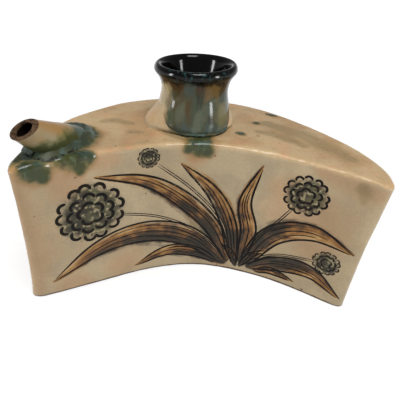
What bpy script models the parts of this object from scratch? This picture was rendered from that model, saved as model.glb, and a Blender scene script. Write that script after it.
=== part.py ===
"""Crescent hip flask in glazed stoneware.

Seen from above the body is a crescent: the hollow side faces -Y and lies against the hip, the full
side faces +Y. It is built from rolled clay slabs that stand on a flat base, with a thrown neck and a
short leaning spout luted on top. Lengths are in metres, +Z is up. The origin lies on the table, in
the middle of the width and halfway between the front and the back there.
"""
import math

import bmesh
import bpy
import numpy as np
from mathutils import Matrix, Vector

# Body in plan
body_width = 0.2126
body_height = 0.100
middle_depth = 0.0782
front_hollow_depth = 0.0460
front_curve_power = 1.75
back_curve_depth = 0.0845
back_curve_power = 2.36
end_bulge = 0.0032
left_horn_taper = 0.0130
horn_setback = 0.0092
horn_splay = 0.0047
end_waist = 0.0019

# Clay slabs and their edges
wall_thickness = 0.006
top_thickness = 0.006
base_thickness = 0.006
corner_reach = 0.023
inner_corner_reach = 0.005
top_edge_radius = 0.0042
base_edge_radius = 0.0014
seam_gap = 0.0003
weld_distance = 0.00001

# Neck, measured up from the top slab
neck_aside = -0.0062
neck_forward = 0.0084
neck_height = 0.0390
neck_lean = math.radians(1.6)
neck_tilt = math.radians(3.6)
neck_lean_azimuth = math.radians(160)
neck_bore_radius = 0.0160
neck_foot_radius = 0.0230
neck_foot_height = 0.0065
neck_waist_radius = 0.0208
neck_waist_height = 0.0220
neck_throat_radius = 0.0202
lip_outer_radius = 0.0256
lip_roll_radius = 0.0026
flare_power = 0.62
swell_power = 0.8
throat_power = 0.55
neck_collar_power = 2.2
neck_collar_width = 0.0038
neck_collar_height = 0.0062

# Spout, measured along its own axis from the top slab
spout_from_end = 0.0236
spout_forward = 0.0075
spout_azimuth = math.radians(244)
spout_rise = math.radians(33)
spout_length = 0.0298
spout_foot_radius = 0.0110
spout_tip_radius = 0.0064
spout_bore_radius = 0.0042
spout_punch_radius = 0.0050
spout_cut_azimuth = math.radians(238)
spout_cut_rise = math.radians(69)
spout_collar_ledge = 0.0034
spout_collar_height = 0.0040
spout_collar_top_share = 0.86

# One overrun serves all cuts
cut_overrun = 0.010

# How finely the round shapes are divided
line_points = 161
reach_samples = 25
front_columns = 34
back_columns = 38
end_columns = 8
wall_rows = 4
edge_steps = 4
turn_steps = 44
spout_segments = 32

half_width = body_width / 2
sides = {"front": front_columns, "right": end_columns, "back": back_columns, "left": end_columns}


def front_line(x):
    """Y of the hollow front at x."""
    return -middle_depth / 2 - front_hollow_depth * abs(x / half_width) ** front_curve_power


def back_line(x):
    """Y of the full back at x."""
    return middle_depth / 2 - back_curve_depth * abs(x / half_width) ** back_curve_power


def steepness(x, depth, power):
    """How steeply one of these lines runs at x."""
    return power * depth / half_width * abs(x / half_width) ** (power - 1)


def middle_line(x):
    """Y halfway between the front and the back at x."""
    return (front_line(x) + back_line(x)) / 2


class Outline:
    """The crescent's closed outline, moved inwards by inset, with its corners softened over reach.

    The left end wall is drawn in at its back edge, so it stands askew.
    """

    def __init__(self, inset, reach):
        half = half_width - end_bulge - inset
        across = np.linspace(-1, 1, line_points)
        x = across * half
        slope = steepness(x, front_hollow_depth, front_curve_power)
        front = np.stack([x, front_line(x) + inset * np.hypot(1, slope)], 1)
        x = x - left_horn_taper * np.minimum(0, across)
        slope = steepness(x, back_curve_depth, back_curve_power)
        back = np.stack([x, back_line(x) - inset * np.hypot(1, slope)], 1)
        share = (across[:, None] + 1) / 2
        bulge = np.stack([end_bulge * (1 - across ** 2), np.zeros(line_points)], 1)
        right = front[-1] + share * (back[-1] - front[-1]) + bulge
        left = front[0] + share * (back[0] - front[0]) - bulge
        lines = [front, right, back[::-1], left[::-1]]
        points = np.concatenate([line[:-1] for line in lines] + [front[:1]])
        self.points = points
        self.run = np.concatenate([[0], np.cumsum(np.hypot(*np.diff(points, axis=0).T))])
        self.corners = self.run[:: line_points - 1]
        self.offsets = np.linspace(-0.5, 0.5, reach_samples) * reach

    def at(self, distance):
        """Points at these distances along the outline, each the mean of its neighbourhood."""
        spread = (np.asarray(distance)[:, None] + self.offsets) % self.run[-1]
        x = np.interp(spread, self.run, self.points[:, 0]).mean(axis=1)
        y = np.interp(spread, self.run, self.points[:, 1]).mean(axis=1)
        return np.stack([x, y], 1)

    def side(self, index, columns, clearance):
        """Points along one side, closer together near its corners."""
        share = (1 - np.cos(np.pi * np.arange(columns + 1) / columns)) / 2
        start = self.corners[index] + clearance
        stop = self.corners[index + 1] - clearance
        return self.at(start + share * (stop - start))


def lean(point):
    """The left horn's foot stands back and out a little, and both ends are slightly waisted."""
    x, y, z = point
    low = 1 - z / body_height
    horn = max(0.0, -2 * x / half_width - 1) ** 2
    waist = 4 * low * (1 - low) * end_waist * (x / half_width) ** 5
    return Vector((x - waist - horn_splay * horn * low, y + horn_setback * horn * low, z))


def finish(bm, name, colour, roughness):
    """Turns a bmesh into a named object with its own material, shaded smooth except at real edges."""
    bmesh.ops.recalc_face_normals(bm, faces=bm.faces)
    mesh = bpy.data.meshes.new(name)
    bm.to_mesh(mesh)
    bm.free()
    mesh.shade_smooth()
    mesh.set_sharp_from_angle(angle=math.radians(35))
    return add_object(name, mesh, colour, roughness)


def add_object(name, mesh, colour, roughness):
    """Puts a mesh in the flask's collection, with a Principled material of its own."""
    material = bpy.data.materials.new(name)
    material.use_nodes = True
    shader = material.node_tree.nodes["Principled BSDF"]
    shader.inputs["Base Color"].default_value = (*colour, 1)
    shader.inputs["Roughness"].default_value = roughness
    shader.inputs["Metallic"].default_value = 0
    mesh.materials.append(material)
    item = bpy.data.objects.new(name, mesh)
    flask.objects.link(item)
    return item


def add_cutter(bm, name):
    """A hidden shape that other pieces are cut with."""
    bmesh.ops.recalc_face_normals(bm, faces=bm.faces)
    mesh = bpy.data.meshes.new(name)
    bm.to_mesh(mesh)
    bm.free()
    item = bpy.data.objects.new(name, mesh)
    item.hide_render = True
    item.display_type = "WIRE"
    cutters.objects.link(item)
    return item


def cut(item, cutter):
    """Cuts one shape out of another, exactly."""
    change = item.modifiers.new(cutter.name, "BOOLEAN")
    change.operation = "DIFFERENCE"
    change.object = cutter
    change.solver = "EXACT"


def wall(name, index, columns, colour, roughness):
    """One upright slab of the body, mitred to its neighbours at both ends."""
    faces_of_wall = [
        Outline(0, corner_reach).side(index, columns, seam_gap / 2),
        Outline(wall_thickness, inner_corner_reach).side(index, columns, seam_gap / 2),
    ]
    bottom = base_thickness + seam_gap
    top = body_height - top_thickness - seam_gap
    bm = bmesh.new()
    bmesh.ops.create_grid(bm, x_segments=columns, y_segments=1, size=1)
    for vert in bm.verts:
        column = round((vert.co.x + 1) / 2 * columns)
        row = round((vert.co.y + 1) / 2)
        vert.co = (*faces_of_wall[row][column], bottom)
    grown = bmesh.ops.extrude_face_region(bm, geom=bm.faces[:])["geom"]
    for part in grown:
        if isinstance(part, bmesh.types.BMVert):
            part.co.z = top
    for row in range(1, wall_rows):
        height = bottom + (top - bottom) * row / wall_rows
        geometry = bm.verts[:] + bm.edges[:] + bm.faces[:]
        bmesh.ops.bisect_plane(bm, geom=geometry, plane_co=(0, 0, height), plane_no=(0, 0, 1))
    for vert in bm.verts:
        vert.co = lean(vert.co)
    return finish(bm, name, colour, roughness)


def slab(name, levels, colour, roughness):
    """A lying slab with the full crescent outline, drawn in by an inset at each level."""
    outline = Outline(0, corner_reach)
    plan = np.concatenate([outline.side(i, n, 0)[:-1] for i, n in enumerate(sides.values())])
    ahead = np.roll(plan, -1, axis=0) - np.roll(plan, 1, axis=0)
    inward = np.stack([-ahead[:, 1], ahead[:, 0]], 1) / np.hypot(*ahead.T)[:, None]
    bm = bmesh.new()
    rings = []
    for height, inset in levels:
        verts = [bm.verts.new(lean((*point, height))) for point in plan + inset * inward]
        rings.append([bm.edges.new(pair) for pair in zip(verts, verts[1:] + verts[:1])])
    for lower, upper in zip(rings, rings[1:]):
        bmesh.ops.bridge_loops(bm, edges=lower + upper)
    for ring in (rings[0], rings[-1]):
        bmesh.ops.contextual_create(bm, geom=ring)
    return finish(bm, name, colour, roughness)


def quarter_round(height, radius, upwards):
    """Levels of a rounded edge: heights and insets from the side face to the flat face."""
    levels = []
    for step in range(edge_steps + 1):
        angle = math.pi / 2 * step / edge_steps
        rise = radius * (math.sin(angle) - 1)
        levels.append((height + rise if upwards else height - rise, radius * (1 - math.cos(angle))))
    return levels if upwards else levels[::-1]


def turned(name, profile, place, colour, roughness):
    """A thrown piece: a closed profile of (radius, height) turned about its own upright axis."""
    mesh = bpy.data.meshes.new(name)
    count = len(profile)
    edges = [(i, (i + 1) % count) for i in range(count)]
    mesh.from_pydata([(radius, 0, height) for radius, height in profile], edges, [])
    item = add_object(name, mesh, colour, roughness)
    item.location = place
    screw = item.modifiers.new("turn", "SCREW")
    screw.steps = turn_steps
    screw.render_steps = turn_steps
    screw.use_merge_vertices = True
    screw.merge_threshold = weld_distance
    screw.use_smooth_shade = True
    return item


def lean_over(item):
    """Leans a thrown piece: its axis slopes, and its sections tilt more the higher they lie."""
    graph = bpy.context.evaluated_depsgraph_get()
    mesh = bpy.data.meshes.new_from_object(item.evaluated_get(graph))
    item.modifiers.clear()
    item.data = mesh
    side = direction(neck_lean_azimuth, 0)
    for vert in mesh.vertices:
        out = vert.co.dot(side)
        tilt = neck_tilt * vert.co.z / neck_height
        move = side * (out * (math.cos(tilt) - 1) + vert.co.z * math.tan(neck_lean))
        move.z = -out * math.sin(tilt)
        vert.co += move


def arc(centre, radius, start, stop, steps):
    """Points of an arc in a turned profile, from one angle to another."""
    angles = [start + (stop - start) * step / steps for step in range(steps + 1)]
    return [(centre[0] + radius * math.cos(a), centre[1] + radius * math.sin(a)) for a in angles]


def swept_wall(low, high, tuck, steps):
    """A smooth wall line between two profile points, which bends most near the low one."""
    points = []
    for step in range(1, steps):
        share = step / steps
        eased = share ** tuck
        points.append((high[0] + (low[0] - high[0]) * eased, high[1] + (low[1] - high[1]) * share))
    return points


def tube(length_from, length_to, radius_from, radius_to, segments):
    """A straight round bar or cone along the spout's axis, between two distances along it."""
    bm = bmesh.new()
    place = spout_foot + spout_axis * (length_from + length_to) / 2
    turn = spout_axis.to_track_quat("Z", "Y").to_matrix().to_4x4()
    bmesh.ops.create_cone(
        bm, cap_ends=True, segments=segments, radius1=radius_from, radius2=radius_to,
        depth=length_to - length_from, matrix=Matrix.Translation(place) @ turn,
    )
    return bm


def spout_radius(distance, extra):
    """The spout's outer radius at a distance along its axis, plus a clearance."""
    share = distance / spout_length
    return spout_foot_radius + (spout_tip_radius - spout_foot_radius) * share + extra


def slice_off(bm, point, normal):
    """Cuts away what lies past a plane and closes the cut."""
    geometry = bm.verts[:] + bm.edges[:] + bm.faces[:]
    result = bmesh.ops.bisect_plane(bm, geom=geometry, plane_co=point, plane_no=normal, clear_outer=True)
    rim = [part for part in result["geom_cut"] if isinstance(part, bmesh.types.BMEdge)]
    bmesh.ops.contextual_create(bm, geom=rim)


def direction(azimuth, rise):
    """A unit direction from its bearing in plan and its rise above the table."""
    flat = math.cos(rise)
    return Vector((math.cos(azimuth) * flat, math.sin(azimuth) * flat, math.sin(rise)))


def round_bar(radius, low, high, place, segments):
    """An upright cylinder between two heights."""
    bm = bmesh.new()
    centre = Vector((place[0], place[1], (low + high) / 2))
    bmesh.ops.create_cone(
        bm, cap_ends=True, segments=segments, radius1=radius, radius2=radius,
        depth=high - low, matrix=Matrix.Translation(centre),
    )
    return bm


for old in list(bpy.data.objects):
    bpy.data.objects.remove(old, do_unlink=True)

flask = bpy.data.collections.new("hip_flask")
cutters = bpy.data.collections.new("cutters")
for collection in (flask, cutters):
    bpy.context.scene.collection.children.link(collection)

cream = (0.50, 0.37, 0.24)
peach = (0.55, 0.37, 0.21)
tenmoku = (0.035, 0.038, 0.032)
celadon = (0.13, 0.15, 0.10)
tan = (0.42, 0.31, 0.18)
teal = (0.09, 0.13, 0.12)

# Base slab
# It carries the walls; its lower edge is wiped with a sponge.
base_levels = quarter_round(0, base_edge_radius, False) + [(base_thickness, 0)]
slab("base_slab", base_levels, tan, 0.45)

# Walls
# Two bent slabs and two short ends stand on the base, mitred at the corners.
wall("front_wall", 0, front_columns, cream, 0.25)
wall("right_end_wall", 1, end_columns, cream, 0.25)
wall("back_wall", 2, back_columns, cream, 0.25)
wall("left_end_wall", 3, end_columns, cream, 0.25)

# Top slab
# It closes the body; its upper edge is softly rounded, and both openings are punched through it.
top_levels = [(body_height - top_thickness, 0)] + quarter_round(body_height, top_edge_radius, True)
top_slab = slab("top_slab", top_levels, peach, 0.25)

# Neck
# Thrown on the wheel: a waisted wall, a flared mouth and a rolled lip. It leans a little to the left.
neck_y = middle_line(0) - neck_forward
neck_place = Vector((neck_aside, neck_y, body_height + seam_gap))
lip_centre = (lip_outer_radius - lip_roll_radius, neck_height - lip_roll_radius)
waist_out = (neck_waist_radius, neck_waist_height)
under_lip = arc(lip_centre, lip_roll_radius, math.pi / 2, -math.pi / 3, 6)
outer_wall = [
    *under_lip,
    *swept_wall(waist_out, under_lip[-1], flare_power, 5),
    waist_out,
    *swept_wall((neck_foot_radius, neck_foot_height), waist_out, swell_power, 4),
    (neck_foot_radius, neck_foot_height),
    (neck_foot_radius, 0),
]
throat = (neck_throat_radius, neck_height - lip_roll_radius)
bore_wall = [
    (neck_bore_radius, 0),
    (neck_bore_radius, neck_waist_height / 2),
    *reversed(swept_wall((neck_bore_radius, neck_waist_height / 2), throat, throat_power, 6)),
    throat,
]
lean_over(turned("neck", outer_wall + bore_wall, neck_place, tenmoku, 0.12))

# Neck collar
# A coil of soft clay wiped round the neck's foot, hollow in section like a fillet.
collar_inner = neck_foot_radius + seam_gap
collar_outer = collar_inner + neck_collar_width
collar_high = (collar_inner, neck_collar_height)
collar_profile = [
    collar_high,
    *swept_wall((collar_outer, seam_gap), collar_high, neck_collar_power, 6),
    (collar_outer, seam_gap),
    (collar_outer, 0),
    (collar_inner, 0),
]
lean_over(turned("neck_collar", collar_profile, neck_place, celadon, 0.2))
cut(top_slab, add_cutter(
    round_bar(neck_bore_radius, body_height - top_thickness - cut_overrun,
              body_height + cut_overrun, neck_place, turn_steps), "neck_hole"))

# Spout
# A short tapered tube that leans out along the left horn, cut nearly level at its tip.
spout_x = spout_from_end - half_width
spout_foot = Vector((spout_x, middle_line(spout_x) - spout_forward, body_height + seam_gap))
spout_axis = direction(spout_azimuth, spout_rise)
foot_start = -spout_foot_radius / math.tan(spout_rise) - cut_overrun
tip_stop = spout_length + cut_overrun
spout_bm = tube(foot_start, tip_stop, spout_radius(foot_start, 0), spout_radius(tip_stop, 0),
                spout_segments)
slice_off(spout_bm, spout_foot, Vector((0, 0, -1)))
slice_off(spout_bm, spout_foot + spout_axis * spout_length,
          direction(spout_cut_azimuth, spout_cut_rise))
spout = finish(spout_bm, "spout", tan, 0.35)
cut(spout, add_cutter(
    tube(foot_start - cut_overrun, tip_stop + cut_overrun, spout_bore_radius, spout_bore_radius,
         spout_segments), "spout_bore"))
cut(top_slab, add_cutter(
    round_bar(spout_punch_radius, body_height - top_thickness - cut_overrun,
              body_height + cut_overrun, spout_foot, spout_segments), "spout_punch"))

# Spout collar
# A flattened pad of clay round the spout's foot, which holds it to the top slab.
taper = (spout_foot_radius - spout_tip_radius) / spout_length * math.cos(spout_rise)
foot_reach_out = spout_foot_radius / (math.sin(spout_rise) + taper)
foot_reach_in = spout_foot_radius / (math.sin(spout_rise) - taper)
pad_length = (foot_reach_out + foot_reach_in) / 2 + spout_collar_ledge
pad_width = spout_foot_radius + spout_collar_ledge
pad = bmesh.new()
stretch = Matrix.Diagonal((pad_length, pad_width, spout_collar_height, 1))
pad_place = spout_foot + direction(spout_azimuth, 0) * (foot_reach_out - foot_reach_in) / 2
pad_place.z += spout_collar_height / 2
bmesh.ops.create_cone(
    pad, cap_ends=True, segments=turn_steps, radius1=1, radius2=spout_collar_top_share, depth=1,
    matrix=Matrix.Translation(pad_place) @ Matrix.Rotation(spout_azimuth, 4, "Z") @ stretch,
)
spout_collar = finish(pad, "spout_collar", teal, 0.2)
cut(spout_collar, add_cutter(
    tube(foot_start, tip_stop, spout_radius(foot_start, seam_gap), spout_radius(tip_stop, seam_gap),
         spout_segments), "spout_seat"))
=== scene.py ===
import math
from functools import lru_cache

import bmesh
import bpy
import numpy as np
from mathutils import Matrix, Vector, noise
from mathutils.bvhtree import BVHTree


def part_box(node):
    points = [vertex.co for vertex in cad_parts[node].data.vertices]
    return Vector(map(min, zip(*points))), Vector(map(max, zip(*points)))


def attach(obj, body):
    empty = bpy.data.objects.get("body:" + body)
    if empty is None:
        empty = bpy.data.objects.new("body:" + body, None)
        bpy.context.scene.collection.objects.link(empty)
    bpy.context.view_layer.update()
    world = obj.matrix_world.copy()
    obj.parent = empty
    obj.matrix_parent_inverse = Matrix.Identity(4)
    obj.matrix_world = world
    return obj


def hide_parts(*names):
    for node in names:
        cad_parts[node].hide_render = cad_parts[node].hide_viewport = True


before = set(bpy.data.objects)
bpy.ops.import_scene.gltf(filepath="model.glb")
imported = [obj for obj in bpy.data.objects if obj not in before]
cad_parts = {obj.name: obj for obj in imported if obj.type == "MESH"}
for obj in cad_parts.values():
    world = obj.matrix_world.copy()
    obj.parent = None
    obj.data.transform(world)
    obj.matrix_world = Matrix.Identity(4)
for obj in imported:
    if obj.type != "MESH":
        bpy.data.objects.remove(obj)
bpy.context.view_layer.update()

mm = 0.001
stage = bpy.context.scene

# Camera
# It stands in front of the hollow side, a little to the left, and looks down on the top. It is also
# turned round its own line of sight, as the photograph is.
camera_place = Vector((-28.16 * mm, -245.2 * mm, 201.2 * mm))
camera_turn = math.radians(7.9)
camera_tilt = math.radians(34.37)
camera_roll = math.radians(6.64)
focal_length_px = 382.15
photo_width_px = 400
sensor_width = 36

lens = bpy.data.cameras.new("camera")
lens.sensor_width = sensor_width
lens.lens = focal_length_px / photo_width_px * sensor_width
lens.clip_start = 10 * mm
camera = bpy.data.objects.new("camera", lens)
aim = Matrix.Rotation(-camera_turn, 3, "Z") @ Matrix.Rotation(math.pi / 2 - camera_tilt, 3, "X")
camera.rotation_euler = (aim @ Matrix.Rotation(camera_roll, 3, "Z")).to_euler()
camera.location = camera_place
stage.collection.objects.link(camera)
stage.camera = camera

# Body skin
# Six rolled slabs of stoneware clay are luted at the arrises and beaten smooth while leather hard, so
# that under the glaze they are one skin. The arrises are rolled with the fingers and a little wavy,
# and the body is hollow, open under the neck and under the spout.
body_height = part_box("top_slab")[1].z
half_width = 106.3 * mm
middle_depth = 78.2 * mm
front_hollow_depth = 46 * mm
front_curve_power = 1.75
back_curve_depth = 84.5 * mm
back_curve_power = 2.36
end_bulge = 3.2 * mm
left_horn_taper = 13 * mm
end_waist = 1.9 * mm
horn_setback = 9.2 * mm
horn_splay = 4.7 * mm
corner_reach = 23 * mm
top_roll = 3.6 * mm
base_roll = 1.4 * mm
wall_thickness = 6 * mm
line_points = 161
reach_samples = 25
skin_columns = 300
skin_depth_rows = 36
skin_rows = 104
top_roll_rows = 7
base_roll_rows = 3
column_bunching = 0.35


def front_line(x):
    """Y of the hollow front at x."""
    return -middle_depth / 2 - front_hollow_depth * np.abs(x / half_width) ** front_curve_power


def back_line(x):
    """Y of the full back at x."""
    return middle_depth / 2 - back_curve_depth * np.abs(x / half_width) ** back_curve_power


def steepness(x, depth, power):
    """How steeply one of these lines runs at x."""
    return power * depth / half_width * np.abs(x / half_width) ** (power - 1)


def run_along(points):
    """How far along a line of points each of them lies."""
    return np.concatenate([[0], np.cumsum(np.hypot(*np.diff(points, axis=0).T))])


def places_along(points, run, distance):
    """The places at these distances along a line of points."""
    return np.stack([np.interp(distance, run, points[:, axis]) for axis in (0, 1)], -1)


def bunched(count):
    """Shares from 0 to 1 that lie a little closer together near both ends."""
    share = np.arange(count + 1) / count
    return share - column_bunching * np.sin(2 * np.pi * share) / (2 * np.pi)


@lru_cache(maxsize=None)
def plan_grid(inset, columns, depth_rows):
    """A grid over the crescent, whose border is the outline moved inwards with its corners softened."""
    half = half_width - end_bulge - inset
    across = np.linspace(-1, 1, line_points)
    x = across * half
    slope = steepness(x, front_hollow_depth, front_curve_power)
    front = np.stack([x, front_line(x) + inset * np.hypot(1, slope)], 1)
    x = x - left_horn_taper * np.minimum(0, across)
    slope = steepness(x, back_curve_depth, back_curve_power)
    back = np.stack([x, back_line(x) - inset * np.hypot(1, slope)], 1)
    share = (across[:, None] + 1) / 2
    bulge = np.stack([end_bulge * (1 - across ** 2), np.zeros(line_points)], 1)
    right = front[-1] + share * (back[-1] - front[-1]) + bulge
    left = front[0] + share * (back[0] - front[0]) - bulge
    lines = [front, right, back[::-1], left[::-1]]
    points = np.concatenate([line[:-1] for line in lines] + [front[:1]])
    run = run_along(points)
    corners = run[:: line_points - 1]
    offsets = np.linspace(-0.5, 0.5, reach_samples) * corner_reach

    def side(index, count):
        """Points along one side, each the mean of the outline round it."""
        distance = corners[index] + bunched(count) * (corners[index + 1] - corners[index])
        return places_along(points, run, (distance[:, None] + offsets) % run[-1]).mean(axis=1)

    front, back = side(0, columns)[:, None], side(2, columns)[::-1][:, None]
    right, left = side(1, depth_rows)[None], side(3, depth_rows)[::-1][None]
    u, v = bunched(columns)[:, None, None], bunched(depth_rows)[None, :, None]
    ruled = (1 - v) * front + v * back + (1 - u) * left + u * right
    corner_share = (1 - u) * ((1 - v) * front[0] + v * back[0]) + u * ((1 - v) * front[-1] + v * back[-1])
    return ruled - corner_share


def lean(points):
    """The left horn's foot stands back and out a little, and both ends are slightly waisted."""
    x, y, z = points.T
    low = 1 - z / body_height
    horn = np.maximum(0, -2 * x / half_width - 1) ** 2
    waist = 4 * low * (1 - low) * end_waist * (x / half_width) ** 5
    return np.stack([x - waist - horn_splay * horn * low, y + horn_setback * horn * low, z], 1)


def read_vectors(items, name):
    """One vector of each item of a mesh, as an array."""
    flat = np.empty(len(items) * 3)
    items.foreach_get(name, flat)
    return flat.reshape(-1, 3)


def read_places(mesh):
    """The places of a mesh's vertices."""
    return read_vectors(mesh.vertices, "co")


def read_normals(mesh):
    """The normals of a mesh's vertices."""
    return read_vectors(mesh.vertex_normals, "vector")


def write_places(mesh, places):
    """Moves a mesh's vertices to these places."""
    mesh.vertices.foreach_set("co", places.ravel())
    mesh.update()


def write_mark(mesh, name, values):
    """Stores one number for each vertex, which the glaze reads as an attribute."""
    mark = mesh.attributes.get(name) or mesh.attributes.new(name, "FLOAT", "POINT")
    mark.data.foreach_set("value", np.asarray(values, float))


def ramp(values, low, high):
    """0 below low and 1 above high, with a smooth rise between them."""
    share = np.clip((values - low) / (high - low), 0, 1)
    return share * share * (3 - 2 * share)


def uneven(places, *waves):
    """Smooth unevenness at these places; a wave is its depth, its length in millimetres and a seed."""
    total = 0
    for depth, length, seed in waves:
        start = Vector((seed, 2 * seed, 3 * seed))
        humps = [noise.noise(Vector(place) / (length * mm) + start) for place in places]
        total = total + depth * np.array(humps)
    return total


def rolled(share, radius):
    """How far a rolled edge is drawn in, and how far it is from its end, this share of the way round."""
    turn = math.pi / 2 * (1 - share)
    return radius * (1 - math.cos(turn)), radius * (1 - math.sin(turn))


def crescent_block(inset, low, high, columns, depth_rows, rows, low_roll=(0, 0), high_roll=(0, 0)):
    """A closed crescent block, extruded from a flat grid; a roll is a radius and its number of rows."""
    bm = bmesh.new()
    bmesh.ops.create_grid(bm, x_segments=columns, y_segments=depth_rows, size=0.5)
    lifted = bmesh.ops.extrude_face_region(bm, geom=bm.faces[:])["geom"]
    lifted = [item for item in lifted if isinstance(item, bmesh.types.BMVert)]
    bmesh.ops.translate(bm, verts=lifted, vec=(0, 0, 1))
    upright = [edge for edge in bm.edges if abs(edge.verts[0].co.z - edge.verts[1].co.z) > 0.5]
    bmesh.ops.subdivide_edges(bm, edges=upright, cuts=rows - 1, use_grid_fill=True)
    grid = np.array([vert.co for vert in bm.verts])
    column = np.rint((grid[:, 0] + 0.5) * columns).astype(int)
    depth = np.rint((grid[:, 1] + 0.5) * depth_rows).astype(int)
    row = np.rint(grid[:, 2] * rows).astype(int)
    low_radius, low_rows = low_roll
    high_radius, high_rows = high_roll
    for level in range(rows + 1):
        here = row == level
        drawn_in = 0
        if level < low_rows:
            drawn_in, from_end = rolled(level / low_rows, low_radius)
            grid[here, 2] = low + from_end
        elif level > rows - high_rows:
            drawn_in, from_end = rolled((rows - level) / high_rows, high_radius)
            grid[here, 2] = high - from_end
        else:
            share = (level - low_rows) / (rows - low_rows - high_rows)
            grid[here, 2] = low + low_radius + share * (high - high_radius - low - low_radius)
        plan = plan_grid(round(inset + drawn_in, 7), columns, depth_rows)
        grid[here, :2] = plan[column[here], depth[here]]
    for vert, place in zip(bm.verts, lean(grid)):
        vert.co = place
    bmesh.ops.recalc_face_normals(bm, faces=bm.faces)
    return bm


def mesh_from(bm, name):
    """Ends the modelling of a shape and gives it as a mesh."""
    mesh = bpy.data.meshes.new(name)
    bm.to_mesh(mesh)
    bm.free()
    return mesh


def show(name, mesh, material):
    """Puts a mesh on the stage, smooth and in one material."""
    mesh.shade_smooth()
    mesh.materials.append(material)
    shown = bpy.data.objects.new(name, mesh)
    stage.collection.objects.link(shown)
    return shown


body_mesh = mesh_from(crescent_block(0, 0, body_height, skin_columns, skin_depth_rows, skin_rows,
                                     (base_roll, base_roll_rows), (top_roll, top_roll_rows)), "body")

# Surface places on the body: along the top in x and y, and along the front in s, measured round the
# hollow from its middle, and z.
arc_points = 2001
arc_x = np.linspace(-half_width, half_width, arc_points)
arc_s = run_along(np.stack([arc_x, front_line(arc_x)], 1))
arc_s = arc_s - arc_s[-1] / 2
trail_step = 2
field_floor = -4


def on_top(x, y):
    """A place on the top, in millimetres."""
    return np.array([x * mm, y * mm, body_height])


def on_front(s, z):
    """A place on the hollow front, in millimetres."""
    x = np.interp(s * mm, arc_s, arc_x)
    return lean(np.array([[x, front_line(x), z * mm]]))[0]


def trail(points, place, widest):
    """Round pools strung closely along given points, and widest in the middle."""
    points = np.array(points, float)
    run = run_along(points)
    distance = np.arange(0, run[-1] + trail_step, trail_step)
    radius = widest * (0.55 + 0.45 * np.sin(np.pi * distance / distance[-1]))
    return [(place(*point), size) for point, size in zip(places_along(points, run, distance), radius)]


def chain_field(places, chain):
    """How deep each place lies in a chain of round pools: 1 at a centre, 0 on the edge, less outside."""
    depths = [1 - np.linalg.norm(places - centre, axis=1) / (radius * mm) for centre, radius in chain]
    return np.maximum(np.max(depths, axis=0), field_floor)


# Where the copper glaze pooled and ran: below the neck, round the spout, and in spots on the top. Then
# the olive clouds and the warm flushes. Each is a chain of places with radii in millimetres.
copper_chain = [
    (on_top(-3, -32), 8.5), (on_top(-3, -37), 9), (on_front(-3.5, 99.5), 8.5),
    (on_front(-9.6, 96.4), 4), (on_front(1.6, 95.4), 4.6), (on_front(-3.5, 98.6), 6.5),
    (on_top(-101, -66), 9), (on_top(-98, -58), 8),
    *trail([(-97, -67), (-88, -63), (-79, -56), (-72, -46), (-69, -36), (-71, -28)], on_top, 8.5),
    *trail([(-102, 99), (-98, 97), (-94, 94)], on_front, 8), (on_front(-94, 91), 4.5),
    *trail([(-84, 100), (-76, 99), (-69, 98)], on_front, 8), (on_front(-74, 93.5), 5), (on_front(-74, 90), 3),
    *trail([(22, -21.8), (25.6, -22.4)], on_top, 3.2), *trail([(36.4, -2.6), (39.2, -3.2)], on_top, 2.8),
    (on_top(35.1, -24), 1.3), *trail([(49.5, 15.2), (55.4, 13)], on_top, 2.6),
]
olive_chain = [
    *trail([(44, -2), (54, -8), (64, -17), (73, -28), (82, -39), (88, -48)], on_top, 10),
    *trail([(37, -17), (46, -20), (56, -26), (64, -34)], on_top, 6.5),
    *trail([(-46, -15), (-56, -12), (-64, -15)], on_top, 5),
    *trail([(-38, -27), (-46, -28)], on_top, 3.5),
    *trail([(-11, 63), (-9, 55), (-4, 46), (-1, 36)], on_front, 6.5),
    *trail([(94, 94), (97, 90), (98, 86)], on_front, 5.5),
    *trail([(-28, -20), (-20, -30), (-12, -35)], on_top, 3.5),
]
flush_chain = [
    *trail([(-114, 88), (-113, 50), (-110, 10)], on_front, 20), (on_front(-84, 5), 14),
    (on_front(-84, 84), 12), (on_front(-60, 95), 9), (on_front(-5, 90), 8),
    *trail([(70, 96), (90, 94), (104, 92)], on_front, 10),
    *trail([(52, 76), (72, 62), (84, 38)], on_front, 24),
    (on_front(-52, 12), 14), (on_front(20, 4), 8),
]
pool_thickness = 0.35 * mm
swell_waves = [(0.45, 60, 3.1), (0.25, 24, 7.7)]
swell_sink = 0.3
ripple_waves = [(0.1, 9, 1.3)]
arris_waves = [(0.4, 15, 5.9), (0.28, 5, 2.4)]
thumb_dents = [(on_front(97, 90), 7, 0.8), (on_front(62, 98), 7, 0.35), (on_front(38, 99), 5, 0.3),
               (on_top(-97, -78), 7, 0.4)]
flat_base_reach = 3 * mm

places = read_places(body_mesh)
normals = read_normals(body_mesh)
copper = chain_field(places, copper_chain)
arris = ramp(np.abs(normals[:, 2]), 0.05, 0.4) * ramp(-np.abs(normals[:, 2]), -0.98, -0.75)
swell = uneven(places, *swell_waves) - swell_sink
ripple = uneven(places, *ripple_waves) + arris * uneven(places, *arris_waves)
for centre, reach, depth in thumb_dents:
    ripple = ripple - depth * ramp(-np.linalg.norm(places - centre, axis=1), -reach * mm, 0)
raised = (swell + ripple) * mm + pool_thickness * ramp(copper, -0.05, 0.4)
moved = places + normals * raised[:, None]
moved[:, 2] = np.where(places[:, 2] < flat_base_reach, places[:, 2], moved[:, 2])
write_places(body_mesh, moved)
write_mark(body_mesh, "copper", copper)
write_mark(body_mesh, "olive", chain_field(places, olive_chain))
write_mark(body_mesh, "flush", chain_field(places, flush_chain))


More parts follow.
